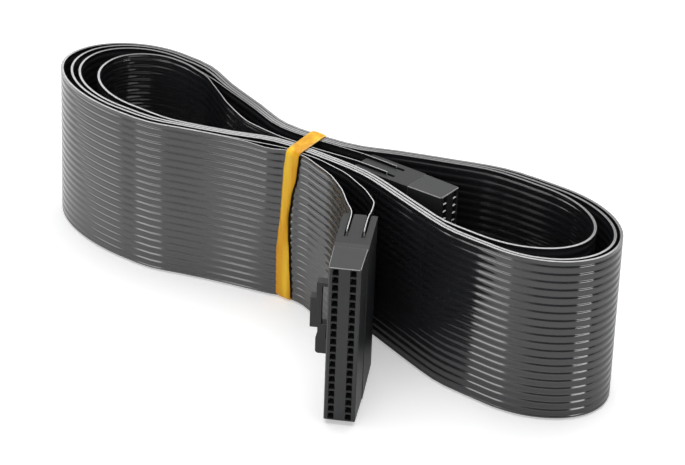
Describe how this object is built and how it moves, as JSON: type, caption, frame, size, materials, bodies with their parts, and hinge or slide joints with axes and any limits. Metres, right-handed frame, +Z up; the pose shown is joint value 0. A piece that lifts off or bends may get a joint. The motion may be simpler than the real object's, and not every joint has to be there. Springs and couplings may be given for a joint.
{
  "type": "ribbon cable",
  "caption": "Flat two-ply ribbon cable wound into a hank and held at the waist by a rubber band, with a two-row socket connector on each end",
  "frame": {"origin": "on the underside of the rubber band, at the middle of the hank's waist; the band stands on the ground plane", "axes": "+X along the hank's length towards the side of the two connectors, +Z up along the ribbon's width, -Y towards the side where the front connector hangs out of the hank"},
  "size_m": [0.2086, 0.0825, 0.0542],
  "materials": {
    "film": "smooth black film, semi-gloss, ribbed over the conductors",
    "band_rubber": "yellow-orange rubber, smooth with a soft sheen",
    "socket_plastic": "charcoal moulded plastic, fine matt grain",
    "clamp_plastic": "charcoal moulded plastic, satin",
    "latch_plastic": "dark moulded plastic, satin",
    "contact_metal": "bright plated spring metal"
  },
  "bodies": {
    "root": {"ribbon_outer": "film", "ribbon_inner": "film", "rubber_band": "band_rubber", "front_socket": "socket_plastic", "front_clamp": "clamp_plastic", "front_contacts_outer": "contact_metal", "front_contacts_inner": "contact_metal", "front_latch": "latch_plastic", "rear_socket": "socket_plastic", "rear_clamp": "clamp_plastic", "rear_contacts_outer": "contact_metal", "rear_contacts_inner": "contact_metal", "rear_latch": "latch_plastic"}
  },
  "joints": []
}
